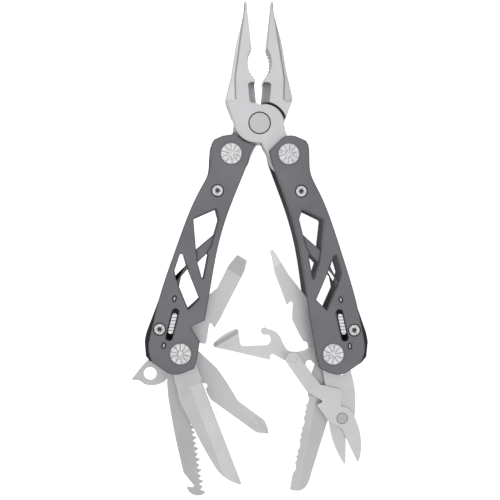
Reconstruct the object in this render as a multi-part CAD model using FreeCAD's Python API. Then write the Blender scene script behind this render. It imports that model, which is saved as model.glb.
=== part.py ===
"""Pocket multi tool: needle-nose pliers with two folding handles that hold nine hinged tools."""
import FreeCAD, Part
import math
import os

from FreeCAD import Vector

# ---- Driving dimensions, millimetres and degrees ----
# Plier head. X runs across the tool, Y towards the jaw tips, Z through its thickness.
NOSE_TOP = 49.3          # jaw tips above the main rivet
JAW_ANGLE = 5.5          # each jaw's opening from the centre plane, as modelled
GRIP_GAP = 0.15          # half the gap left between the closed jaws
HEAD_HALF = 6.5          # half thickness at the boss
TIP_HALF = 1.7           # half thickness at the tips
LAP_GAP = 0.1            # half the gap between the lapped halves
TAPER_START = 18.0       # height where the nose begins to thin
BOSS_RADIUS = 8.0        # lapped boss
BOSS_SIDE = 1.9          # the boss circles sit this far either side of the rivet
BOSS_RELIEF = 9.0        # arc cut in the other jaw, clear of the boss
RIVET_RADIUS = 3.0
RIVET_HEAD = 4.1
RIVET_HEAD_DEPTH = 1.15
RUNNING = 0.05           # radial clearance of every turning fit

# Handles. Local frame: X towards the inner side, Y from the tool pivot to the top pivot.
PIVOT_X = 11.4           # top pivots either side of the main rivet
PIVOT_Y = -12.5
HANDLE_SPAN = 81.5       # tool pivot to top pivot
SPLAY = {"left": 14.2, "right": 12.6}
TANG_RADIUS = 8.0
SPACER_RADIUS = 7.0
CHANNEL_HALF = 6.7       # half the space between the plates
PLATE = 2.0              # plate thickness
PIN_RADIUS = 2.0
PIN_HEAD = 4.2
PIN_HEAD_HEIGHT = 0.7
SUNBURST_CUTS = 10
SCREW_RADIUS = 1.1
SCREW_HEAD = 2.1
SCREW_SINK = 2.4         # counterbore radius round a screw head
SCREW_DEPTH = 1.3
UPPER_SCREW = (-1.7, 66.0)
LOWER_SCREW = (-10.4, 7.4)
SLOT_CENTRE = (-6.0, 10.4)
SLOT_SIZE = (2.7, 12.9)
SLOT_POCKET = (4.0, 14.0)
SLIDER_SIZE = (1.9, 8.3)
SLIDER_Y = 10.85
SLIDER_TOP = 0.55        # slider above the plate
SLIDER_TRAVEL = (-2.2, 1.3)
INDEX_PINS = [(-7.7, 20.5), (-7.2, 1.6)]
INDEX_PIN = (0.7, 1.6)
INDEX_WINDOW = (1.4, 2.4)
POCKET_DEPTH = 0.8       # pockets under the plates that hold the slider's foot and the pins' flanges
FLANGE = 0.6             # thickness of those feet and flanges

# Tools: each one's place in the stack (low, high) and the direction it points, degrees from +X.
TANG = 4.9
LAYERS = {
    "plain_blade": (5.1, 6.6),
    "wood_saw": (1.65, 2.85),
    "large_flat_driver": (-1.45, -0.05),
    "lanyard_tab": (-4.05, -2.85),
    "cross_point_driver": (-6.6, -4.15),
    "scissors_lever_blade": (4.05, 5.0),
    "scissors_fixed_blade": (2.95, 3.95),
    "serrated_blade": (0.05, 1.55),
    "can_opener": (-2.75, -1.55),
    "small_flat_driver": (-4.05, -2.85),
}
SPRUNG = {
    "left": ("plain_blade", "wood_saw", "large_flat_driver", "cross_point_driver"),
    "right": ("scissors_fixed_blade", "serrated_blade", "can_opener", "small_flat_driver"),
}
WASHER_RADIUS = 2.5
NICK_DEPTH = 0.3         # thumb recess in the plain blade
LEVER_SWEEP = 18.9       # radius of the gap between spring leaves that the scissors lever turns in
LEFT_TOOLS = {
    "plain_blade": -66.0,
    "wood_saw": -78.6,
    "large_flat_driver": 56.8,
    "lanyard_tab": 217.3,
    "cross_point_driver": -43.7,
}
RIGHT_TOOLS = {
    "scissors_fixed_blade": -82.0,
    "serrated_blade": -106.5,
    "can_opener": 175.6,
    "small_flat_driver": 119.5,
}
SCISSORS_PIVOT = (0.5, 26.5)
LANYARD_HOLE = (0.25, 15.2)
LANYARD_RADIUS = 2.6

UP = Vector(0, 0, 1)
ACROSS = Vector(1, 0, 0)
CENTRE = Vector(0, 0, 0)


# ---- Shape helpers ----
def via(x, y):
    """A point that a curved stretch of an outline passes through."""
    return (x, y, "curve")


def stretch(start, through, end):
    """One edge: a line, an arc through one point, or a spline through several."""
    if not through:
        return Part.makeLine(start, end)
    if len(through) == 1:
        return Part.Arc(start, through[0], end).toShape()
    spline = Part.BSplineCurve()
    spline.interpolate([start] + through + [end])
    return spline.toShape()


def outline(points):
    """Closed wire through the points, straight except where via() points bend it."""
    ring = points + [points[0]]
    start = Vector(ring[0][0], ring[0][1], 0)
    edges = []
    through = []
    for point in ring[1:]:
        place = Vector(point[0], point[1], 0)
        if len(point) == 3:
            through.append(place)
            continue
        edges.append(stretch(start, through, place))
        start = place
        through = []
    return Part.Wire(edges)


def slab(points, low, high):
    """Solid of the outline between two heights."""
    face = Part.Face(outline(points))
    solid = face.extrude(Vector(0, 0, high - low))
    solid.translate(Vector(0, 0, low))
    return solid


def disc(x, y, radius, low, high):
    """Upright cylinder."""
    return Part.makeCylinder(radius, high - low, Vector(x, y, low))


def oblong(x, y, width, length, low, high):
    """Upright slot-shaped solid with round ends, its length along Y."""
    reach = length / 2 - width / 2
    half = width / 2
    return slab([(x + half, y - reach), (x + half, y + reach), via(x, y + reach + half),
                 (x - half, y + reach), (x - half, y - reach), via(x, y - reach - half)], low, high)


def loft(sections):
    """Ruled solid through closed sections, each a list of (x, y, z) corners."""
    wires = [Part.makePolygon([Vector(*corner) for corner in section + section[:1]])
             for section in sections]
    return Part.makeLoft(wires, True, True)


def flip_z(shape):
    """The same shape on the other side of the mid-plane."""
    return shape.mirror(CENTRE, UP)


def flip_x(shape):
    """The shape for the other handle."""
    return shape.mirror(CENTRE, ACROSS)


def tidy(shape):
    """Merge coplanar faces left by boolean operations."""
    return shape.removeSplitter()


# ---- Plier head ----
def grip_x(y):
    """The left jaw's gripping face at a height."""
    return -(GRIP_GAP + y * math.tan(math.radians(JAW_ANGLE)))


def nose_outline(bottom):
    """Left nose from its tip to its shoulder, closed along the given lower edge."""
    return [(grip_x(NOSE_TOP) - 0.1, NOSE_TOP), via(-5.3, NOSE_TOP + 0.2), (-5.8, NOSE_TOP - 0.7),
            via(-7.1, 40.0), via(-8.4, 35.0), via(-9.4, 30.0), via(-10.1, 25.0), (-10.9, 20.0),
            (-13.3, 9.9)] + bottom


def front_lap_outline():
    """Nose, boss and tang of the front half of the front jaw."""
    tang_left = (PIVOT_X - 7.9, PIVOT_Y - 1.2)
    tang_right = (PIVOT_X + 7.0, PIVOT_Y + 3.9)
    return nose_outline([
        (-12.4, 6.8), (-9.85, -0.6), via(-7.6, -5.4), (-1.9, 0.3 - BOSS_RADIUS),
        (0.5, -7.8), (1.8, -10.0), tang_left,
        via(PIVOT_X, PIVOT_Y - TANG_RADIUS), tang_right,
        (11.2, -5.2), (10.2, -3.0), (9.8, -0.3),
        via(7.5, 5.25), (BOSS_SIDE, BOSS_RADIUS - 0.5), (0.0, 7.3), (grip_x(7.6), 7.6)])


def back_lap_outline():
    """The nose behind the mid-plane, cut clear of the other jaw's boss."""
    return nose_outline([(-12.9, 8.4), (-10.6, 2.4),
                         via(-8.1, 6.1), (-BOSS_SIDE, BOSS_RELIEF - 0.4),
                         (grip_x(BOSS_RELIEF), BOSS_RELIEF - 0.4)])


def taper():
    """Side profile of the head: full thickness at the boss, thin at the tips."""
    profile = [(-40, -HEAD_HALF), (TAPER_START, -HEAD_HALF), (NOSE_TOP + 1, -TIP_HALF),
               (NOSE_TOP + 1, TIP_HALF), (TAPER_START, HEAD_HALF), (-40, HEAD_HALF)]
    corners = [Vector(-20, y, z) for y, z in profile]
    face = Part.Face(Part.makePolygon(corners + corners[:1]))
    return face.extrude(Vector(45, 0, 0))


def outer_bevel():
    """Wedge that slopes the nose's outer flank, front side."""
    def wedge(y, inner, outer, top, drop):
        return [(inner, y, top), (outer, y, top - drop), (outer, y, top + 2), (inner, y, top + 2)]
    return loft([wedge(8.6, -9.6, -14.0, HEAD_HALF, 1.5), wedge(TAPER_START, -9.8, -12.4, HEAD_HALF, 1.0),
                 wedge(NOSE_TOP + 0.5, -5.3, -6.6, TIP_HALF + 0.05, 0.5)])


def bevel_line():
    """Narrow groove along the top of the outer bevel, front side."""
    def groove(y, edge, top):
        return [(edge - 0.2, y, top - 0.6), (edge + 0.2, y, top - 0.6),
                (edge + 0.2, y, top + 1), (edge - 0.2, y, top + 1)]
    return loft([groove(9.4, -9.6, HEAD_HALF), groove(TAPER_START, -9.8, HEAD_HALF),
                 groove(NOSE_TOP - 1.5, -5.6, TIP_HALF + 0.38)])


def toothed_recess():
    """Round pipe grip with teeth, cut into the jaw's inner side."""
    centre = (4.7, 24.4)
    radius = 9.8
    teeth = 42
    depth = 0.55
    points = []
    for index in range(2 * teeth):
        reach = radius - depth * (index % 2)
        angle = math.pi * index / teeth
        points.append((centre[0] + reach * math.cos(angle), centre[1] + reach * math.sin(angle)))
    return slab(points, -HEAD_HALF - 1, HEAD_HALF + 1)


def grip_teeth():
    """Fine cross teeth on the flat of the jaw."""
    first, last, pitch, depth = 31.5, 47.0, 1.0, 0.22
    points = []
    y = first
    while y < last:
        points.append((grip_x(y), y))
        points.append((grip_x(y + pitch / 2) - depth, y + pitch / 2))
        y += pitch
    points.append((grip_x(y), y))
    points += [(0.0, y), (0.0, first)]
    return slab(points, -HEAD_HALF - 1, HEAD_HALF + 1)


def cutter_bevel():
    """Ground face of the wire cutter, front side."""
    low, high = 8.0, 16.2
    edge = grip_x(low)
    section = [(edge - 3.0, HEAD_HALF), (edge, 0.3), (edge + 2, 0.3), (edge + 2, HEAD_HALF + 1),
               (edge - 3.0, HEAD_HALF + 1)]
    rise = high - low
    corners = [Vector(x, low, z) for x, z in section]
    face = Part.Face(Part.makePolygon(corners + corners[:1]))
    wedge = face.extrude(Vector(grip_x(high) - edge, rise, 0))
    outer = edge - 2.9
    ends = slab([(outer + 1.0, low), (2.0, low), (2.0, high), (outer + 0.4, high),
                 via(outer - 0.5, high - 0.5), (outer - 0.9, high - 1.7), (outer - 0.2, low + 1.4),
                 via(outer + 0.2, low + 0.4)], -1, HEAD_HALF + 1)
    return wedge.common(ends)


def jaw():
    """Front jaw: left nose, front half of the boss, and the tang for the right handle."""
    front = slab(front_lap_outline(), LAP_GAP, HEAD_HALF)
    back = slab(back_lap_outline(), -HEAD_HALF, LAP_GAP)
    solid = front.fuse(back).common(taper())
    cuts = [outer_bevel(), flip_z(outer_bevel()), bevel_line(), flip_z(bevel_line()),
            toothed_recess(), grip_teeth(),
            cutter_bevel(), flip_z(cutter_bevel()),
            disc(0, 0, RIVET_RADIUS + RUNNING, -1, HEAD_HALF + 1),
            disc(0, 0, RIVET_HEAD + 0.25, HEAD_HALF - RIVET_HEAD_DEPTH - 0.05, HEAD_HALF + 1),
            disc(PIVOT_X, PIVOT_Y, PIN_RADIUS + RUNNING, -1, HEAD_HALF + 1)]
    for cut in cuts:
        solid = solid.cut(cut)
    return tidy(solid)


def main_rivet():
    """Flush rivet that joins the jaws."""
    top = HEAD_HALF - 0.02
    shaft = disc(0, 0, RIVET_RADIUS, -top, top)
    head = disc(0, 0, RIVET_HEAD, HEAD_HALF - RIVET_HEAD_DEPTH, top)
    return tidy(shaft.fuse(head).fuse(flip_z(head)))


# ---- Handles, drawn for the left handle ----
TOP_PIVOT = (0.0, HANDLE_SPAN)
PLATE_LOW = CHANNEL_HALF
PLATE_HIGH = CHANNEL_HALF + PLATE


def outer_edge():
    """The plates' outer edge from the top lobe down to the end of the straight."""
    return [(-8.5, 83.4), via(-8.1, 80.0), via(-6.9, 72.5), via(-8.4, 65.0), via(-10.4, 55.0),
            via(-12.0, 40.0), via(-13.3, 25.0), (-13.6, 12.0), (-13.4, 2.4)]


def bottom_edge():
    """Faceted end of the handle below the tool pivot."""
    return [via(-12.5, -2.0), (-10.6, -5.2), via(-10.0, -5.9), (-9.0, -6.3), (-4.0, -8.2),
            via(-1.7, -8.6), (0.7, -8.2), (3.0, -7.0), (6.0, -4.7), via(6.5, -4.2), (6.6, -3.6),
            (6.7, 0.0)]


def inner_edge():
    """The plates' inner edge from the tool end to the top."""
    return [(6.0, 15.0), via(5.0, 28.0), via(3.9, 45.0), via(4.4, 58.0), via(5.9, 70.0), (7.3, 80.0)]


def plain_plate_outline():
    """Plate with a full inner edge and a faceted top."""
    top = [(7.2, 84.2), (7.0, 84.6), (0.9, 88.4), via(-2.0, 88.6), (-4.9, 87.4), (-7.9, 85.2)]
    return outer_edge() + bottom_edge() + inner_edge() + top


def notched_plate_outline():
    """Plate with a thumb notch beside the plain blade and an ear beside the boss."""
    notch = [(6.1, 6.6), (1.6, 10.4), via(1.1, 11.1), (1.6, 11.7)]
    top = [(7.2, 84.0), (8.4, 87.4), via(3.3, 87.7), (-0.9, 90.1), (-1.7, 88.9), (-5.0, 87.5),
           (-7.9, 85.2)]
    return outer_edge() + bottom_edge() + notch + inner_edge() + top


TRUSS_HOLES = [
    [(-0.5, 59.0), (1.6, 55.2), (1.4, 49.0), (-4.2, 41.2), (-8.1, 52.5), (-7.8, 53.3)],
    [(-2.4, 36.5), (0.3, 40.8), (1.0, 40.5), (1.5, 31.0), (1.0, 30.6)],
    [(-9.7, 38.2), (-8.8, 38.2), (-6.5, 34.2), (-8.3, 27.6), (-8.8, 27.6), (-10.4, 31.0), (-10.0, 37.5)],
    [(-5.6, 33.0), (1.9, 22.6), (-1.4, 17.5), (-7.1, 25.2), (-7.3, 29.5)],
]
CROSS_RIBBONS = [
    [(-4.2, 41.2), (1.4, 49.0), (1.3, 44.5), (0.3, 40.8), (-2.4, 36.5)],
    [(-7.3, 36.2), (-6.3, 34.2), (-8.3, 27.4), (-7.1, 25.2), (-7.0, 29.5), (-5.4, 33.2)],
]
RIBBON_DROP = 0.6        # the cross ribbons lie this far under the main one


def plate(points, lock_side):
    """Handle plate at the front; the lock side has the slider slot and index windows."""
    solid = slab(points, PLATE_LOW, PLATE_HIGH)
    cuts = [slab(hole, PLATE_LOW - 1, PLATE_HIGH + 1) for hole in TRUSS_HOLES]
    for ribbon in CROSS_RIBBONS:
        cuts.append(slab(ribbon, PLATE_HIGH - RIBBON_DROP, PLATE_HIGH + 1))
    for x, y in (TOP_PIVOT, (0.0, 0.0)):
        cuts.append(disc(x, y, PIN_RADIUS + RUNNING, PLATE_LOW - 1, PLATE_HIGH + 1))
    for x, y in (UPPER_SCREW, LOWER_SCREW):
        cuts.append(disc(x, y, SCREW_RADIUS, PLATE_LOW - 1, PLATE_HIGH))
        cuts.append(disc(x, y, SCREW_SINK, PLATE_HIGH - SCREW_DEPTH, PLATE_HIGH + 1))
    if lock_side:
        cuts.append(oblong(*SLOT_CENTRE, *SLOT_SIZE, PLATE_LOW - 1, PLATE_HIGH + 1))
        cuts.append(oblong(*SLOT_CENTRE, *SLOT_POCKET, PLATE_LOW - 1, PLATE_LOW + POCKET_DEPTH))
        width, length = INDEX_WINDOW
        for x, y in INDEX_PINS:
            cuts.append(oblong(x, y, width, length, PLATE_LOW - 1, PLATE_HIGH + 1))
            cuts.append(oblong(x, y, width + 0.7, length + 0.7, PLATE_LOW - 1, PLATE_LOW + POCKET_DEPTH))
    for cut in cuts:
        solid = solid.cut(cut)
    return solid


def sunburst_head():
    """Pin head at the front with radial cuts and a centre dimple."""
    low = PLATE_HIGH
    high = low + PIN_HEAD_HEIGHT
    head = disc(0, 0, PIN_HEAD, low, high)
    rim = [edge for edge in head.Edges if edge.Vertexes[0].Z > high - 0.01 and edge.Closed]
    head = head.makeChamfer(0.25, rim)
    groove = Part.makeBox(PIN_HEAD, 0.28, 1.0, Vector(1.0, -0.14, high - 0.32))
    for index in range(SUNBURST_CUTS):
        cut = groove.copy()
        cut.rotate(CENTRE, UP, index * 360.0 / SUNBURST_CUTS)
        head = head.cut(cut)
    return head.cut(disc(0, 0, 0.8, high - 0.12, high + 1))


def handle_pin(x, y):
    """Pivot pin through both plates with a decorated head on each side."""
    head = sunburst_head()
    pin = disc(0, 0, PIN_RADIUS, -PLATE_HIGH, PLATE_HIGH).fuse(head).fuse(flip_z(head))
    pin.translate(Vector(x, y, 0))
    return tidy(pin)


def star_recess(x, y, top):
    """Six-point driver recess in a screw head."""
    points = []
    for index in range(12):
        reach = 1.2 if index % 2 == 0 else 0.75
        angle = math.pi * index / 6
        points.append((x + reach * math.cos(angle), y + reach * math.sin(angle)))
    return slab(points, top - 0.7, top + 1)


def screw(x, y, end):
    """Screw from the front plate's face down to the given height."""
    top = PLATE_HIGH - 0.1
    head = disc(x, y, SCREW_HEAD, PLATE_HIGH - SCREW_DEPTH, top)
    shank = disc(x, y, SCREW_RADIUS, end, top)
    return tidy(head.fuse(shank).cut(star_recess(x, y, top)))


def screw_pair(x, y, front_end, back_end):
    """Screws from both sides, each down to its own distance from the mid-plane."""
    return Part.makeCompound([screw(x, y, front_end), flip_z(screw(x, y, back_end))])


def pivot_spacer():
    """Round spacer that fills the front half of the channel beside the tang."""
    low, high = LAP_GAP + 0.1, CHANNEL_HALF
    ring = disc(*TOP_PIVOT, SPACER_RADIUS, low, high)
    return ring.cut(disc(*TOP_PIVOT, PIN_RADIUS + RUNNING, low - 1, high + 1))


def spring_pack(side):
    """Black spring block along the outer edge, with one leaf finger for each sprung tool."""
    rim = [(-13.4, 20.0), (-14.2, 12.9), (-14.8, 7.7), via(-15.1, 4.0), (-14.9, 1.2), (-13.1, -4.2),
           (-10.6, -6.2)]
    inside = [(-10.2, -5.0), via(-12.1, -1.6), (-12.3, 2.8), (-8.6, 4.6), (-8.6, 10.6),
              (-11.8, 13.8), (-12.5, 20.0)]
    block = slab(rim + inside, -CHANNEL_HALF, CHANNEL_HALF)
    for name in SPRUNG[side]:
        low, high = LAYERS[name]
        leaf = slab([(-8.7, 9.8), (-6.2, 3.0), via(-5.65, 1.2), (-5.5, -0.9), (-6.3, -0.9),
                     via(-6.5, 1.4), (-7.1, 3.1), (-8.7, 6.4)], low, high)
        block = block.fuse(leaf)
    if side == "right":
        low, high = LAYERS["scissors_lever_blade"]
        block = block.cut(disc(0, 0, LEVER_SWEEP, low - 0.1, high + 0.1))
    else:
        low, high = LAYERS["lanyard_tab"]
        block = block.cut(slab([(-16, -7), (-8, -7), (-8, -2.4), (-16, -2.4)], low - 0.15, high + 0.15))
    sleeve = disc(*LOWER_SCREW, SCREW_RADIUS, -CHANNEL_HALF - 1, CHANNEL_HALF + 1)
    return tidy(block.cut(sleeve))


def lock_slider():
    """Knurled thumb slider that runs in the plate's slot on a foot under the plate."""
    x = SLOT_CENTRE[0]
    width, length = SLIDER_SIZE
    top = PLATE_HIGH + SLIDER_TOP
    knob = oblong(x, SLIDER_Y, width, length, PLATE_LOW + 0.1, top)
    foot = oblong(x, SLIDER_Y, width + 1.6, length + 0.6, PLATE_LOW + 0.1, PLATE_LOW + 0.1 + FLANGE)
    solid = knob.fuse(foot)
    ridge = 0.8
    y = SLIDER_Y - length / 2 + 1.2
    while y < SLIDER_Y + length / 2 - 1.2:
        solid = solid.cut(Part.makeBox(width + 1, ridge / 2, 1, Vector(x - width / 2 - 0.5, y, top - 0.25)))
        y += ridge
    return solid


def index_pins():
    """Two small oblong pins that show in the plate's windows, held by flanges under the plate."""
    pins = []
    for x, y in INDEX_PINS:
        pin = oblong(x, y, *INDEX_PIN, PLATE_LOW + 0.1, PLATE_HIGH - 0.1)
        flange = oblong(x, y, INDEX_WINDOW[0] + 0.6, INDEX_WINDOW[1] + 0.6,
                        PLATE_LOW + POCKET_DEPTH - FLANGE, PLATE_LOW + POCKET_DEPTH)
        pins.append(tidy(pin.fuse(flange)))
    return Part.makeCompound(pins)


# ---- Tools, drawn pointing along +Y from their pivot, as they lie when stowed ----
def layer_mid(name):
    """Height of the middle of a tool's layer."""
    low, high = LAYERS[name]
    return (low + high) / 2


def tool(name, points):
    """Flat tool: its outline joined to a round tang with the pivot hole."""
    low, high = LAYERS[name]
    solid = slab(points, low, high).fuse(disc(0, 0, TANG, low, high))
    return tidy(solid.cut(disc(0, 0, PIN_RADIUS + RUNNING, low - 1, high + 1)))


def grind(solid, name, start, end, profile, sides=(1, -1)):
    """Grind an edge from start to end. The profile lists (distance from edge, half thickness)."""
    low, high = LAYERS[name]
    middle = layer_mid(name)
    roof = (high - low) / 2 + 1
    along = Vector(end[0] - start[0], end[1] - start[1], 0)
    inward = Vector(along.y, -along.x, 0)
    inward.normalize()
    base = Vector(start[0], start[1], middle)
    steps = [(-1.5, profile[0][1])] + profile
    for side in sides:
        corners = [base + inward * reach + UP * (side * half) for reach, half in steps]
        corners.append(base + inward * steps[-1][0] + UP * (side * roof))
        corners.append(base + inward * steps[0][0] + UP * (side * roof))
        face = Part.Face(Part.makePolygon(corners + corners[:1]))
        solid = solid.cut(face.extrude(along))
    return solid


def plain_blade():
    """Straight-edged blade; the edge faces into the handle and the back stands out of it."""
    name = "plain_blade"
    solid = tool(name, [
        (-4.2, 2.5), (-3.6, 9.0), (-3.4, 12.9), (-2.7, 13.2), (-3.1, 13.9), (-0.9, 57.5), (-0.5, 57.7),
        via(2.4, 54.8), via(5.0, 50.4), via(6.3, 44.0), via(7.3, 32.0), (8.0, 20.0),
        via(7.9, 16.0), (7.2, 13.4), (6.6, 9.0), (4.6, 1.6)])
    blank = (LAYERS[name][1] - LAYERS[name][0]) / 2
    solid = grind(solid, name, (-3.1, 13.9), (-0.6, 60.5), [(0.0, 0.1), (0.85, 0.42), (5.2, blank)])
    face = LAYERS[name][1]
    nick = slab([(7.6, 9.6), via(6.6, 8.6), (5.3, 9.3), via(4.6, 10.1), (3.9, 9.9), via(2.6, 10.6),
                 (2.7, 12.0), (4.6, 15.2), (7.7, 14.6)], face - NICK_DEPTH, face + 1)
    return solid.cut(nick)


def saw_outline():
    """Saw outline with a hook notch at its rounded end."""
    pitch = 2.2
    teeth = 18
    first = 56.7
    points = []
    for index in range(teeth):
        y = first - index * pitch
        lean = 1.5 - 2.1 * (first - y) / 40.0
        short = 0.55 * (index % 2)
        points.append((lean + short, y))
        points.append((lean + 1.9, y - pitch * 0.55))
    points = [(3.2, 57.6), via(2.3, 57.4)] + points
    tail = [(-0.2, 17.4), (-2.6, 12.0), (-4.4, 2.0), (4.7, 1.4), (7.6, 10.4), (8.3, 16.0),
            via(8.7, 30.0), (8.3, 47.4), (5.4, 53.0), via(5.6, 53.8), (6.4, 53.9), (7.7, 53.3),
            (8.2, 53.5), via(7.0, 56.1)]
    return points + tail


def wood_saw():
    """Coarse wood saw."""
    return tool("wood_saw", saw_outline())


def flat_driver_tip(solid, name, start, tip, half_tip):
    """Thin a driver evenly from start to its tip, on both faces."""
    low, high = LAYERS[name]
    middle = layer_mid(name)
    thick = (high - low) / 2
    for side in (1, -1):
        section = [(start, side * thick), (tip, side * half_tip), (tip + 1, side * half_tip),
                   (tip + 1, side * (thick + 1)), (start, side * (thick + 1))]
        corners = [Vector(-10, y, middle + z) for y, z in section]
        face = Part.Face(Part.makePolygon(corners + corners[:1]))
        solid = solid.cut(face.extrude(Vector(25, 0, 0)))
    return solid


def large_flat_driver():
    """Broad flat driver with a lock notch in its inner edge."""
    name = "large_flat_driver"
    solid = tool(name, [
        (-4.6, 1.5), (-4.2, 9.0), (-3.6, 18.0), (-2.8, 25.6), (-1.5, 29.4), (-1.6, 30.4), (-2.0, 34.0),
        (-2.7, 40.0), (-2.1, 45.1), (2.3, 45.3), (3.8, 41.0), (4.1, 38.0), (5.0, 29.0), (6.0, 20.0),
        (6.2, 15.6), (5.6, 15.6), via(5.0, 16.1), (3.5, 16.0), (3.6, 15.4), (6.4, 9.3), via(6.5, 8.2),
        (5.6, 7.6), (4.2, 7.0), (4.7, 1.2)])
    return flat_driver_tip(solid, name, 38.3, 45.2, 0.45)


def small_flat_driver():
    """Narrow flat driver."""
    name = "small_flat_driver"
    solid = tool(name, [
        (-4.6, 1.5), (-4.0, 10.0), (-3.3, 20.0), (-2.4, 26.5), (-1.9, 30.0), (-1.0, 35.5), (-0.7, 45.0),
        (-0.5, 47.5), (1.0, 47.5), (1.5, 45.0), (2.5, 42.3), (3.6, 38.6), (4.6, 32.0), (5.7, 25.3),
        (5.2, 25.1), via(4.5, 25.5), (3.6, 25.4), via(3.2, 24.8), (3.4, 24.1), (6.7, 19.0), (7.1, 13.0),
        (7.1, 8.7), via(6.3, 8.1), (6.1, 7.3), (6.6, 5.4), (4.9, 0.8)])
    return flat_driver_tip(solid, name, 41.0, 47.5, 0.35)


def cross_point_driver():
    """Cross-point driver cut from thick stock, its point fluted on four sides."""
    name = "cross_point_driver"
    low, high = LAYERS[name]
    solid = tool(name, [
        (-4.8, 0.8), (-4.9, 15.8), (-3.6, 22.5), (-1.3, 31.0), (-1.3, 32.6), (-2.8, 44.3), (-2.6, 45.4),
        (-1.1, 49.1), (-0.3, 49.5), (0.4, 49.2), (1.2, 47.9), (2.7, 46.3), (3.1, 45.2), (3.5, 41.0),
        (4.6, 32.6), (5.9, 22.8), (5.2, 20.2), (4.2, 18.2), via(2.6, 17.5), (3.2, 16.0), (4.8, 12.0),
        (4.9, 0.8)])
    web = 0.55
    middle = layer_mid(name)
    for x_side in (1, -1):
        for z_side in (1, -1):
            x = 0.15 + x_side * web
            z = middle + z_side * web
            flute = loft([
                [(x + x_side * 1.6, 35.0, z + z_side * 1.8), (x + x_side * 6.0, 35.0, z + z_side * 1.8),
                 (x + x_side * 6.0, 35.0, z + z_side * 4.0), (x + x_side * 1.6, 35.0, z + z_side * 4.0)],
                [(x, 44.0, z), (x + x_side * 6.0, 44.0, z),
                 (x + x_side * 6.0, 44.0, z + z_side * 4.0), (x, 44.0, z + z_side * 4.0)],
                [(x, 51.0, z), (x + x_side * 6.0, 51.0, z),
                 (x + x_side * 6.0, 51.0, z + z_side * 4.0), (x, 51.0, z + z_side * 4.0)]])
            solid = solid.cut(flute)
    point = Part.makeCone(4.6, 0.35, 6.2, Vector(0.0, 43.3, middle), Vector(0, 1, 0))
    shank = Part.makeBox(20, 43.31 + 10, high - low, Vector(-10, -10, low))
    return solid.common(point.fuse(shank))


def lanyard_tab():
    """Tab with a hole for a cord or key ring."""
    name = "lanyard_tab"
    low, high = LAYERS[name]
    solid = tool(name, [
        (-4.6, 1.5), (-5.3, 9.5), (-5.8, 12.4), via(-4.4, 16.9), (-1.6, 19.7), via(0.9, 20.6), (2.2, 21.9),
        via(2.7, 22.4), (3.1, 21.8), (4.3, 17.5), via(5.0, 14.0), (5.2, 12.0), (5.0, 9.0), (4.7, 1.3)])
    return solid.cut(disc(*LANYARD_HOLE, LANYARD_RADIUS, low - 1, high + 1))


def serrated_outline():
    """Sheepsfoot blade with big and small scallops repeated along the edge."""
    groups = (4.4, 2.4, 2.4)
    points = [(-3.9, 19.2)]
    y = 19.2
    for index in range(10):
        width = groups[index % 3]
        depth = 0.85 if index % 3 == 0 else 0.6
        edge = -3.9 + 0.098 * (y + width - 19.2)
        points.append(via(edge - 0.049 * width + depth, y + width / 2))
        points.append((edge, y + width))
        y += width
    return points


def serrated_blade():
    """Serrated sheepsfoot blade."""
    name = "serrated_blade"
    outline_points = [(-4.7, 1.2), (-4.9, 10.0), (-4.3, 17.0)] + serrated_outline() + [
        (0.0, 57.7), via(2.4, 57.5), via(4.8, 56.2), via(6.0, 54.0), (6.3, 50.0), (6.6, 28.0),
        (6.9, 14.0), (6.4, 6.0), (4.8, 0.8)]
    solid = tool(name, outline_points)
    blank = (LAYERS[name][1] - LAYERS[name][0]) / 2
    return grind(solid, name, (-3.9, 19.2), (0.2, 61.0), [(0.0, 0.12), (3.6, blank)], sides=(1,))


def can_opener():
    """Bottle opener hook and can opener claw on one arm."""
    name = "can_opener"
    solid = tool(name, [
        (-4.3, 2.2), (-0.9, 8.6), (0.3, 10.2), (1.1, 13.0), (1.1, 16.2), (0.2, 17.7), (-3.0, 19.8),
        via(-6.3, 22.4), (-7.2, 25.8), via(-6.2, 28.5), (-5.0, 27.4), (-5.1, 25.4), via(-3.6, 24.3),
        (-0.7, 25.7), (0.3, 34.6), via(-0.2, 36.3), (-1.6, 36.8), (-5.7, 37.8), via(-6.4, 38.4),
        (-6.2, 39.3), via(-4.0, 43.1), (-0.4, 47.0), via(0.5, 47.4), (1.5, 46.4), (2.2, 42.0),
        (4.1, 29.6), (5.1, 23.7), via(3.7, 24.1), (2.5, 23.0), (4.6, 18.6), (6.6, 12.0), (5.9, 9.3),
        via(4.0, 8.3), (4.9, 6.6), (4.9, 0.8)])
    return grind(solid, name, (-6.9, 37.4), (0.7, 48.4), [(0.0, 0.15), (1.6, 0.6)], sides=(1,))


def scissors_fixed_blade():
    """Scissors half with the tang; its blade is behind the lever blade."""
    name = "scissors_fixed_blade"
    low, high = LAYERS[name]
    solid = tool(name, [
        (-4.7, 1.2), (-4.3, 12.0), (-4.8, 27.0), via(-3.9, 37.0), (-1.2, 44.9), (-0.6, 44.9),
        via(0.4, 38.6), (1.0, 34.5), (4.6, 30.0), (5.8, 26.4), via(7.3, 16.0), (6.6, 7.4), (4.8, 1.0)])
    solid = solid.cut(disc(*SCISSORS_PIVOT, 1.55, low - 1, high + 1))
    solid = solid.cut(disc(*SCISSORS_PIVOT, 2.25, low - 1, low + 0.55))
    solid = solid.cut(disc(3.1, 8.9, 0.75, low - 1, high + 1))
    return solid


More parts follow.
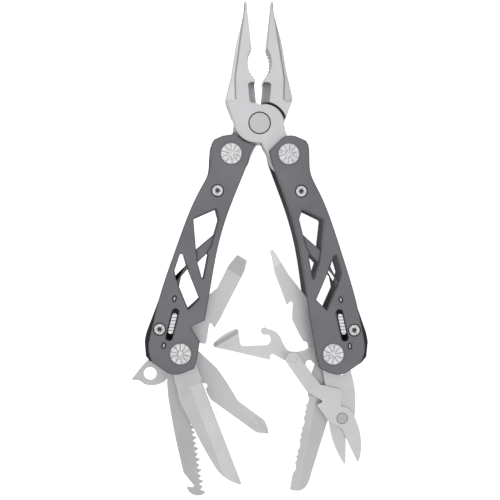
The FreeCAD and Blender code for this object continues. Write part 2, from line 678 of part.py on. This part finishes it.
def scissors_lever_blade():
    """Scissors half with the thumb lever, sprung open."""
    name = "scissors_lever_blade"
    low, high = LAYERS[name]
    solid = slab([
        (-18.3, 1.6), via(-17.6, -1.9), (-13.6, -1.2), (-8.7, 7.6), (-6.3, 11.8), (-4.5, 12.4),
        (1.2, 14.7), via(1.65, 15.3), (0.8, 19.0), (0.8, 21.7), via(3.9, 23.3), (5.3, 26.0),
        via(6.9, 35.5), (5.4, 43.3), (4.5, 44.9), (4.1, 44.6), (-0.2, 30.6), (-1.4, 29.6),
        (-4.9, 27.3), (-8.6, 20.2), via(-8.6, 19.6), (-7.8, 19.3), (-6.5, 18.9), (-6.6, 18.2),
        (-10.5, 15.0), (-12.0, 13.9)], low, high)
    solid = solid.cut(disc(*SCISSORS_PIVOT, 1.55, low - 1, high + 1))
    solid = solid.cut(disc(*SCISSORS_PIVOT, 2.25, high - 0.55, high + 1))
    solid = solid.cut(disc(-15.85, 0.1, 1.45, high - 0.3, high + 1))
    return tidy(solid)


def scissors_rivet():
    """Flush rivet of the scissors, its heads sunk in the two blades."""
    low = LAYERS["scissors_fixed_blade"][0]
    high = LAYERS["scissors_lever_blade"][1]
    shaft = disc(*SCISSORS_PIVOT, 1.5, low, high)
    front = disc(*SCISSORS_PIVOT, 2.1, high - 0.5, high)
    back = disc(*SCISSORS_PIVOT, 2.1, low, low + 0.5)
    return tidy(shaft.fuse(front).fuse(back))


def tool_washers(side):
    """Washers that fill the gaps in a handle's stack of tools."""
    tools = LEFT_TOOLS if side == "left" else RIGHT_TOOLS
    stack = sorted(LAYERS[name] for name in tools)
    floor = -CHANNEL_HALF
    rings = []
    for low, high in stack + [(CHANNEL_HALF, CHANNEL_HALF)]:
        if low - floor > 0.3:
            ring = disc(0, 0, WASHER_RADIUS, floor + 0.05, low - 0.05)
            rings.append(ring.cut(disc(0, 0, PIN_RADIUS + RUNNING, floor, low)))
        floor = high
    return Part.makeCompound(rings)


# ---- Assembly ----
def tool_pivot(side):
    """World place of a handle's tool pivot."""
    sign = -1 if side == "left" else 1
    lean = math.radians(SPLAY[side])
    return Vector(sign * (PIVOT_X + HANDLE_SPAN * math.sin(lean)),
                  PIVOT_Y - HANDLE_SPAN * math.cos(lean), 0)


def stowed_angle(side):
    """Direction from the tool pivot to the top pivot, degrees from +X."""
    return 90 - SPLAY[side] if side == "left" else 90 + SPLAY[side]


def put(shape, side, direction):
    """Place a shape drawn along +Y so that it points in a direction from the tool pivot."""
    if side == "right":
        shape = flip_x(shape)
    shape = shape.copy()
    shape.rotate(CENTRE, UP, direction - 90)
    shape.translate(tool_pivot(side))
    return shape


def handle_parts(side):
    """Named fixed pieces of one handle, in place."""
    notched = plate(notched_plate_outline(), lock_side=(side == "left"))
    plain = plate(plain_plate_outline(), lock_side=(side == "right"))
    spacer = pivot_spacer()
    lower_end = 0.05
    if side == "left":
        front, back = notched, flip_z(plain)
    else:
        front, back = plain, flip_z(notched)
        spacer = flip_z(spacer)
        lower_end = LAYERS["scissors_lever_blade"][1] + 0.15
    parts = {
        "front_plate": front,
        "back_plate": back,
        "top_pivot": handle_pin(*TOP_PIVOT),
        "tool_pivot": handle_pin(0.0, 0.0),
        "pivot_spacer": spacer,
        "spring_pack": spring_pack(side),
        "lower_screws": screw_pair(*LOWER_SCREW, lower_end, 0.05),
        "upper_screws": screw_pair(*UPPER_SCREW, PLATE_LOW + 0.05, PLATE_LOW + 0.05),
        "index_pins": index_pins(),
        "lock_slider": lock_slider(),
        "tool_washers": tool_washers(side),
    }
    return {side + "_" + name: put(shape, side, stowed_angle(side)) for name, shape in parts.items()}


def build():
    """Every piece of the open multi tool, by name."""
    front_jaw = jaw()
    nodes = {"front_jaw": front_jaw, "back_jaw": flip_x(flip_z(front_jaw)), "main_rivet": main_rivet()}
    for side in ("left", "right"):
        nodes.update(handle_parts(side))
    makers = {
        "plain_blade": plain_blade, "wood_saw": wood_saw, "large_flat_driver": large_flat_driver,
        "lanyard_tab": lanyard_tab, "cross_point_driver": cross_point_driver,
        "scissors_fixed_blade": scissors_fixed_blade, "serrated_blade": serrated_blade,
        "can_opener": can_opener, "small_flat_driver": small_flat_driver,
    }
    for side, tools in (("left", LEFT_TOOLS), ("right", RIGHT_TOOLS)):
        for name, direction in tools.items():
            nodes[name] = put(makers[name](), side, direction)
    scissors = RIGHT_TOOLS["scissors_fixed_blade"]
    nodes["scissors_lever_blade"] = put(scissors_lever_blade(), "right", scissors)
    nodes["scissors_rivet"] = put(scissors_rivet(), "right", scissors)
    return nodes


def origin_shift(nodes):
    """Move that puts the bottom centre of the whole object's box at the origin."""
    box = FreeCAD.BoundBox()
    for shape in nodes.values():
        box.add(shape.optimalBoundingBox(False, False))
    return Vector(-box.Center.x, -box.Center.y, -box.ZMin)


def main():
    """Write one STEP file per piece."""
    os.makedirs("parts", exist_ok=True)
    nodes = build()
    shift = origin_shift(nodes)
    for name, shape in nodes.items():
        placed = shape.copy()
        placed.translate(shift)
        placed.exportStep("parts/" + name + ".step")
        print(name, len(placed.Solids), placed.isValid(), round(placed.Volume, 1))
    print("shift", shift)


if __name__ == "__main__":
    main()
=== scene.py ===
import math

import bpy
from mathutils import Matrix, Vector


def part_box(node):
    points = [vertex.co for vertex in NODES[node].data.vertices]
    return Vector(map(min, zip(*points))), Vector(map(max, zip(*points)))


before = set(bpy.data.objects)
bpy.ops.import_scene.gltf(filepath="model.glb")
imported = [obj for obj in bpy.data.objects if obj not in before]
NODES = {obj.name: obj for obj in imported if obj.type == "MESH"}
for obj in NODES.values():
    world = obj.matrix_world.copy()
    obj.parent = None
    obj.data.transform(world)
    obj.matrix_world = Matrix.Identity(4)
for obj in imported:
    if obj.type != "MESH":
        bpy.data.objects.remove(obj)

SCENE = bpy.context.scene
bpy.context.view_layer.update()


# ---- Places read from the frame ----
def centre_of(node):
    """Middle of a node's box, metres."""
    low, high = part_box(node)
    return (low + high) / 2


RIVET = centre_of("main_rivet")
MID_PLANE = RIVET.z     # height of the plane midway through the tool, metres


def top_of(node):
    """Height of a node's top above the tool's mid-plane, millimetres."""
    return (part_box(node)[1].z - MID_PLANE) * 1000


# ---- Procedural materials ----
# A tool's face counts as ground below the first value of Graph.facing and as flat above the second.
GROUND_FACING, FLAT_FACING = 0.9990, 0.9996
# Mask of the painted edge shade, a dot product of the rounded and the true normal: at most the first on
# an edge, the second clear of it.
EDGE_AGREEMENT, CLEAR_AGREEMENT = 0.78, 0.97


class Graph:
    """A material's node tree around one Principled shader."""

    def __init__(self, name):
        self.material = bpy.data.materials.new(name)
        self.material.use_nodes = True
        self.tree = self.material.node_tree
        self.shader = self.tree.nodes["Principled BSDF"]
        self.place = self.add("ShaderNodeTexCoord")

    def add(self, kind, **settings):
        node = self.tree.nodes.new(kind)
        for key, value in settings.items():
            setattr(node, key, value)
        return node

    def link(self, output, socket):
        self.tree.links.new(output, socket)

    def set(self, **values):
        for key, value in values.items():
            self.shader.inputs[key.replace("_", " ")].default_value = value

    def noise(self, scale, detail=3.0, stretch=(1, 1, 1), turn=0.0):
        """Noise in metres-based object space, optionally stretched and turned for brushing."""
        mapping = self.add("ShaderNodeMapping")
        mapping.inputs["Rotation"].default_value = (0, 0, math.radians(turn))
        mapping.inputs["Scale"].default_value = stretch
        self.link(self.place.outputs["Object"], mapping.inputs["Vector"])
        noise = self.add("ShaderNodeTexNoise")
        noise.inputs["Scale"].default_value = scale
        noise.inputs["Detail"].default_value = detail
        self.link(mapping.outputs["Vector"], noise.inputs["Vector"])
        return noise.outputs["Fac"]

    def math(self, operation, value, second=0.0):
        node = self.add("ShaderNodeMath", operation=operation)
        self.link(value, node.inputs[0])
        node.inputs[1].default_value = second
        return node.outputs["Value"]

    def spread(self, value, start, end, low, high):
        """Value mapped from the span start..end to low..high, held at both ends."""
        node = self.add("ShaderNodeMapRange")
        node.inputs["From Min"].default_value = start
        node.inputs["From Max"].default_value = end
        node.inputs["To Min"].default_value = low
        node.inputs["To Max"].default_value = high
        self.link(value, node.inputs["Value"])
        return node.outputs["Result"]

    def level(self):
        """Distance from the tool's mid-plane, metres."""
        split = self.add("ShaderNodeSeparateXYZ")
        self.link(self.place.outputs["Object"], split.inputs["Vector"])
        return self.math("ABSOLUTE", self.math("SUBTRACT", split.outputs["Z"], MID_PLANE))

    def facing(self):
        """1 on flat faces, less on faces ground at an angle, 0 on side walls."""
        split = self.add("ShaderNodeSeparateXYZ")
        self.link(self.place.outputs["Normal"], split.inputs["Vector"])
        return self.math("ABSOLUTE", split.outputs["Z"])

    def ramp(self, value, low, high, start=0.3, end=0.7):
        """Map a value to a colour or grey between two ends."""
        ramp = self.add("ShaderNodeValToRGB")
        ramp.color_ramp.elements[0].position = start
        ramp.color_ramp.elements[1].position = end
        ramp.color_ramp.elements[0].color = (*low, 1)
        ramp.color_ramp.elements[1].color = (*high, 1)
        self.link(value, ramp.inputs["Fac"])
        return ramp.outputs["Color"]

    def mix(self, first, second, amount):
        """The first colour times the second, by an amount from 0 to 1."""
        mix = self.add("ShaderNodeMix", data_type="RGBA", blend_type="MULTIPLY")
        mix.inputs["Factor"].default_value = amount
        self.link(first, mix.inputs["A"])
        self.link(second, mix.inputs["B"])
        return mix.outputs["Result"]

    def shaded(self, colour, clear, shade):
        """A colour times a grey shade where clear is 0, unchanged where clear is 1."""
        return self.mix(colour, self.ramp(clear, grey(shade), grey(1.0), 0, 1), 1.0)

    def rough(self, value, low, high):
        self.link(self.spread(value, 0, 1, low, high), self.shader.inputs["Roughness"])

    def bump(self, value, strength, depth):
        bump = self.add("ShaderNodeBump")
        bump.inputs["Strength"].default_value = strength
        bump.inputs["Distance"].default_value = depth
        self.link(value, bump.inputs["Height"])
        self.link(bump.outputs["Normal"], self.shader.inputs["Normal"])

    def painted_wall_shade(self, colour, shade, start, end):
        """Painted shade: darken side walls fully and slopes by their facing; the flat faces keep their
        colour.
        """
        flat = self.spread(self.facing(), start, end, 0, 1)
        return self.shaded(colour, flat, shade)

    def painted_ring_shade(self, colour, centre, radius, width, shade):
        """Painted shade: darken a thin ring round an upright axis, such as the shade in a flush rivet's
        gap; millimetres.
        """
        offset = self.add("ShaderNodeVectorMath", operation="SUBTRACT")
        self.link(self.place.outputs["Object"], offset.inputs[0])
        offset.inputs[1].default_value = (centre.x, centre.y, 0)
        flatten = self.add("ShaderNodeVectorMath", operation="MULTIPLY")
        self.link(offset.outputs["Vector"], flatten.inputs[0])
        flatten.inputs[1].default_value = (1, 1, 0)
        reach = self.add("ShaderNodeVectorMath", operation="LENGTH")
        self.link(flatten.outputs["Vector"], reach.inputs[0])
        gap = self.math("ABSOLUTE", self.math("SUBTRACT", reach.outputs["Value"], radius / 1000))
        half = width / 2000
        return self.shaded(colour, self.spread(gap, half / 2, half, 0, 1), shade)

    def painted_edge_shade(self, colour, reach, shade):
        """Painted shade: darken a colour within reach of its edges, millimetres, like the shade on a
        small chamfer.
        """
        rounded = self.add("ShaderNodeBevel", samples=6)
        rounded.inputs["Radius"].default_value = reach / 1000
        agree = self.add("ShaderNodeVectorMath", operation="DOT_PRODUCT")
        self.link(rounded.outputs["Normal"], agree.inputs[0])
        self.link(self.add("ShaderNodeNewGeometry").outputs["True Normal"], agree.inputs[1])
        clear = self.spread(agree.outputs["Value"], EDGE_AGREEMENT, CLEAR_AGREEMENT, 0, 1)
        return self.shaded(colour, clear, shade)

    def painted_depth_shade(self, colour, top, start, full, shade):
        """Painted shade: darken a colour from a starting depth below the top, fully at a full depth, as
        shade falls in recesses; millimetres.
        """
        clear = self.spread(self.level(), (top - full) / 1000, (top - start) / 1000, 0, 1)
        return self.shaded(colour, clear, shade)


def grey(value):
    """A neutral grey."""
    return (value, value, value)


def steel(value, warmth=0.0):
    """A steel tone with a trace of violet, or warmer."""
    return (value * (1 + warmth), value * 0.985, value * (1.008 - warmth * 0.6))


def blasted_steel(name, tone, warmth=0.0, ring=None):
    """Satin steel with a fine even grain, painted shade on its side walls and along its edges; ring is
    (node, radius, width) of painted shade in the gap round a rivet.
    """
    graph = Graph(name)
    graph.set(Metallic=0.75)
    clouds = graph.ramp(graph.noise(70, 4), steel(tone * 0.95, warmth), steel(tone * 1.04, warmth))
    grain = graph.noise(5200, 2)
    specks = graph.ramp(grain, grey(0.90), grey(1.0), 0.35, 0.6)
    # Painted shade on the side walls and slopes, then along the edges.
    colour = graph.painted_wall_shade(graph.mix(clouds, specks, 0.7), shade=0.5, start=0.05, end=0.38)
    colour = graph.painted_edge_shade(colour, reach=0.5, shade=0.45)
    # Painted shade in the gap round the rivet.
    if ring:
        node, radius, width = ring
        colour = graph.painted_ring_shade(colour, centre_of(node), radius, width, 0.12)
    graph.link(colour, graph.shader.inputs["Base Color"])
    graph.rough(grain, 0.36, 0.5)
    graph.bump(grain, 0.14, 0.00004)
    return graph.material


def brushed_steel(name, tone, turn, ground):
    """Satin steel brushed along one direction; ground is the tone factor of its ground faces and side
    walls, part their own ground finish, part painted highlight where above 1 and painted shade where
    below 1.
    """
    warmth = 0.006
    graph = Graph(name)
    graph.set(Metallic=0.75)
    lines = graph.noise(420, 4, (14, 0.5, 1), turn)
    clouds = graph.ramp(graph.noise(60, 4), steel(tone * 0.95, warmth), steel(tone * 1.04, warmth))
    streaks = graph.ramp(lines, grey(0.90), grey(1.0), 0.3, 0.7)
    colour = graph.mix(clouds, streaks, 0.8)
    # Ground faces and side walls take the ground factor: painted highlight above 1, painted shade below
    # 1, over their own ground finish.
    flat = graph.spread(graph.facing(), GROUND_FACING, FLAT_FACING, 0, 1)
    graph.link(graph.shaded(colour, flat, ground), graph.shader.inputs["Base Color"])
    graph.rough(lines, 0.34, 0.48)
    graph.bump(lines, 0.10, 0.00003)
    return graph.material


def oxide_plate(name):
    """Dark grey oxide finish, nearly matte, with fine grain; painted shade in its recesses, on its side
    walls and along its edges.
    """
    graph = Graph(name)
    graph.set(Metallic=0.35, Specular_IOR_Level=0.3)
    clouds = graph.ramp(graph.noise(55, 5), (0.158, 0.154, 0.170), (0.190, 0.186, 0.200))
    grain = graph.noise(3800, 3)
    specks = graph.ramp(grain, grey(0.88), grey(1.0), 0.35, 0.6)
    # Painted shade in the recesses, on the side walls and along the edges.
    colour = graph.painted_depth_shade(graph.mix(clouds, specks, 0.7), top_of("left_front_plate"), 0.65, 1.4, 0.55)
    colour = graph.painted_wall_shade(colour, shade=0.62, start=0.2, end=0.8)
    graph.link(graph.painted_edge_shade(colour, reach=1.1, shade=0.12), graph.shader.inputs["Base Color"])
    graph.rough(grain, 0.38, 0.54)
    graph.bump(grain, 0.2, 0.00005)
    return graph.material


def polished(name, tone, top, start, full, shade):
    """Bright cast steel, mottled and scratched, with painted shade in the cuts below its top, from the
    start depth to the full depth.
    """
    graph = Graph(name)
    graph.set(Metallic=0.95)
    scratches = graph.noise(1500, 6, (1, 6, 1), 35)
    mottling = graph.ramp(graph.noise(1300, 5), steel(tone * 0.66), steel(tone), 0.35, 0.6)
    colour = graph.mix(mottling, graph.ramp(scratches, grey(0.86), grey(1.0)), 0.6)
    # Painted shade in the cuts below the top.
    graph.link(graph.painted_depth_shade(colour, top, start, full, shade), graph.shader.inputs["Base Color"])
    graph.rough(scratches, 0.2, 0.42)
    graph.bump(graph.noise(1100, 5), 0.35, 0.00008)
    return graph.material


def ribbed(name, tone):
    """Bright steel with a cross rib every 1.3 mm, for the lock sliders, with painted shade between the
    ribs and deep in their slots.
    """
    graph = Graph(name)
    graph.set(Metallic=0.9)
    ribs = graph.add("ShaderNodeTexWave", bands_direction="Y")
    ribs.inputs["Scale"].default_value = 240
    ribs.inputs["Distortion"].default_value = 0.6
    graph.link(graph.place.outputs["Object"], ribs.inputs["Vector"])
    # Dark stripes are painted shade between the ribs; below them painted shade darkens the slots.
    ribs_with_painted_shade = graph.ramp(ribs.outputs["Fac"], steel(tone * 0.45), steel(tone), 0.1, 0.5)
    ribs_with_painted_shade = graph.painted_depth_shade(ribs_with_painted_shade, top_of("left_lock_slider"), 0.65, 1.65, 0.05)
    graph.link(ribs_with_painted_shade, graph.shader.inputs["Base Color"])
    graph.rough(ribs.outputs["Fac"], 0.25, 0.4)
    graph.bump(ribs.outputs["Fac"], 0.5, 0.0001)
    return graph.material


def black_spring(name):
    """Black oxide on spring steel, faintly streaked."""
    graph = Graph(name)
    graph.set(Metallic=0.3)
    grain = graph.noise(2500, 3, (1, 1, 4))
    graph.link(graph.ramp(grain, grey(0.006), grey(0.018)), graph.shader.inputs["Base Color"])
    graph.rough(grain, 0.38, 0.6)
    graph.bump(grain, 0.2, 0.00005)
    return graph.material


MATERIALS = {
    # The jaw's ring is painted shade in the gap round the main rivet.
    "jaw": blasted_steel("satin_jaw_steel", 0.63, ring=("main_rivet", 4.25, 0.7)),
    "rivet": blasted_steel("satin_rivet_steel", 0.57, 0.01),
    "plate": oxide_plate("grey_oxide_plate"),
    # For pin, fastener and window the last three numbers place painted shade in their cuts and below
    # their tops.
    "pin": polished("bright_pin_steel", 0.84, top_of("left_top_pivot"), 0.16, 0.28, 0.5),
    "fastener": polished("screw_steel", 0.74, top_of("left_lower_screws"), 0.1, 0.4, 0.12),
    "slider": ribbed("slider_steel", 0.86),
    "window": polished("index_pin_steel", 0.55, top_of("left_index_pins"), 0.1, 0.8, 0.04),
    "spring": black_spring("black_spring_steel"),
    "spacer": blasted_steel("dull_spacer_steel", 0.17, 0.04),
    "scissors": blasted_steel("scissors_rivet_steel", 0.48, 0.02),
}
# The lower flat-face tones, such as the saw's, are partly painted shade of the tools lying over them;
# the ground factor is painted highlight above 1 and painted shade below 1 on ground faces and side
# walls, over their own ground finish.
TOOL_FINISH = {     # tone of the flat faces, direction of the brushing, tone factor of ground faces
    "plain_blade": (0.58, -66, 1.12),
    "wood_saw": (0.49, -79, 0.9),
    "large_flat_driver": (0.64, 57, 0.5),
    "lanyard_tab": (0.57, 37, 0.9),
    "cross_point_driver": (0.60, -44, 0.92),
    "scissors_fixed_blade": (0.62, -82, 0.8),
    "scissors_lever_blade": (0.64, -60, 0.85),
    "serrated_blade": (0.53, -106, 1.08),
    "can_opener": (0.66, 5, 0.6),
    "small_flat_driver": (0.66, 120, 1.25),
}


def finish_for(name):
    """The material of one CAD node."""
    if name in TOOL_FINISH:
        return brushed_steel("ground_" + name, *TOOL_FINISH[name])
    endings = {"jaw": "jaw", "main_rivet": "rivet", "scissors_rivet": "scissors", "_plate": "plate",
               "_pivot": "pin", "_screws": "fastener", "lock_slider": "slider", "spring_pack": "spring",
               "index_pins": "window"}
    for ending, key in endings.items():
        if name.endswith(ending):
            return MATERIALS[key]
    return MATERIALS["spacer"]


# Widest edge bevel of each kind of piece, millimetres; the modifier narrows it where edges are short.
EDGE = {"_plate": 0.18, "jaw": 0.1, "_screws": 0.06, "_pivot": 0.05, "index_pins": 0.05,
        "lock_slider": 0.05}
TOOL_EDGE = 0.07
WELD_GAP = 0.000002                 # metres between points that are one
FLAT_ANGLE = math.radians(0.5)      # faces closer than this are one flat face
SHARP_ANGLE = math.radians(35)      # edges sharper than this get the bevel


def edge_width(name):
    """Width of one node's edge bevel, metres."""
    for ending, width in EDGE.items():
        if name.endswith(ending):
            return width / 1000
    return TOOL_EDGE / 1000


def soften(obj, width):
    """Weld, clean and bevel a CAD node's edges without touching its own mesh."""
    weld = obj.modifiers.new("weld", "WELD")
    weld.merge_threshold = WELD_GAP
    flat = obj.modifiers.new("flat", "DECIMATE")
    flat.decimate_type = "DISSOLVE"
    flat.angle_limit = FLAT_ANGLE
    bevel = obj.modifiers.new("bevel", "BEVEL")
    bevel.width = width
    bevel.segments = 3
    bevel.limit_method = "ANGLE"
    bevel.angle_limit = SHARP_ANGLE
    bevel.harden_normals = True


for name, obj in NODES.items():
    material = finish_for(name)
    obj.data.materials.clear()
    obj.data.materials.append(material)
    soften(obj, edge_width(name))


# ---- Stage ----
def floor(size, height, tone, glow):
    """Pale matte floor that gives off a little light, like a back-lit table."""
    half = size / 2
    corners = [(x * half, y * half, height) for x, y in ((-1, -1), (1, -1), (1, 1), (-1, 1))]
    mesh = bpy.data.meshes.new("floor")
    mesh.from_pydata(corners, [], [(0, 1, 2, 3)])
    obj = bpy.data.objects.new("floor", mesh)
    SCENE.collection.objects.link(obj)
    graph = Graph("floor_paper")
    graph.set(Roughness=0.9, Emission_Color=(1, 1, 1, 1), Emission_Strength=glow)
    paper = graph.ramp(graph.noise(6, 3), grey(tone * 0.995), grey(tone))
    graph.link(paper, graph.shader.inputs["Base Color"])
    mesh.materials.append(graph.material)


def area(name, place, size, power):
    """Soft box aimed at the origin, the middle of the tool."""
    data = bpy.data.lights.new(name, "AREA")
    data.energy = power
    data.size = size
    obj = bpy.data.objects.new(name, data)
    obj.location = place
    obj.rotation_euler = (-Vector(place)).to_track_quat("-Z", "Y").to_euler()
    SCENE.collection.objects.link(obj)


def studio(horizon, zenith):
    """White surroundings, brighter overhead than round the sides."""
    world = bpy.data.worlds.new("studio")
    world.use_nodes = True
    tree = world.node_tree
    direction = tree.nodes.new("ShaderNodeTexCoord").outputs["Generated"]
    split = tree.nodes.new("ShaderNodeSeparateXYZ")
    strength = tree.nodes.new("ShaderNodeMapRange")
    strength.inputs["From Min"].default_value = -0.1
    strength.inputs["From Max"].default_value = 0.9
    strength.inputs["To Min"].default_value = horizon
    strength.inputs["To Max"].default_value = zenith
    tree.links.new(direction, split.inputs["Vector"])
    tree.links.new(split.outputs["Z"], strength.inputs["Value"])
    tree.links.new(strength.outputs["Result"], tree.nodes["Background"].inputs["Strength"])
    tree.nodes["Background"].inputs["Color"].default_value = (1, 1, 1, 1)
    SCENE.world = world


def camera(aim, distance, width, lean):
    """Camera above a point, seeing a given width there, leaning over from the left by an angle."""
    data = bpy.data.cameras.new("camera")
    data.sensor_width = 36
    data.lens = data.sensor_width * distance / width
    data.clip_start = 0.01
    obj = bpy.data.objects.new("camera", data)
    obj.location = aim + distance * Vector((-math.sin(lean), 0, math.cos(lean)))
    obj.rotation_euler = (0, -lean, 0)
    SCENE.collection.objects.link(obj)
    SCENE.camera = obj


MIDDLE = RIVET + Vector((-0.0034, -0.0506, 0))      # middle of the frame, between the handles
floor(size=12.0, height=-0.04, tone=0.95, glow=0.45)
studio(horizon=0.42, zenith=0.95)
area("key", (-0.35, 0.35, 0.55), size=0.8, power=1.0)
area("fill", (0.5, -0.4, 0.55), size=0.8, power=0.5)
camera(aim=MIDDLE, distance=0.42, width=0.2020, lean=math.radians(4))
SCENE.view_settings.view_transform = "Standard"
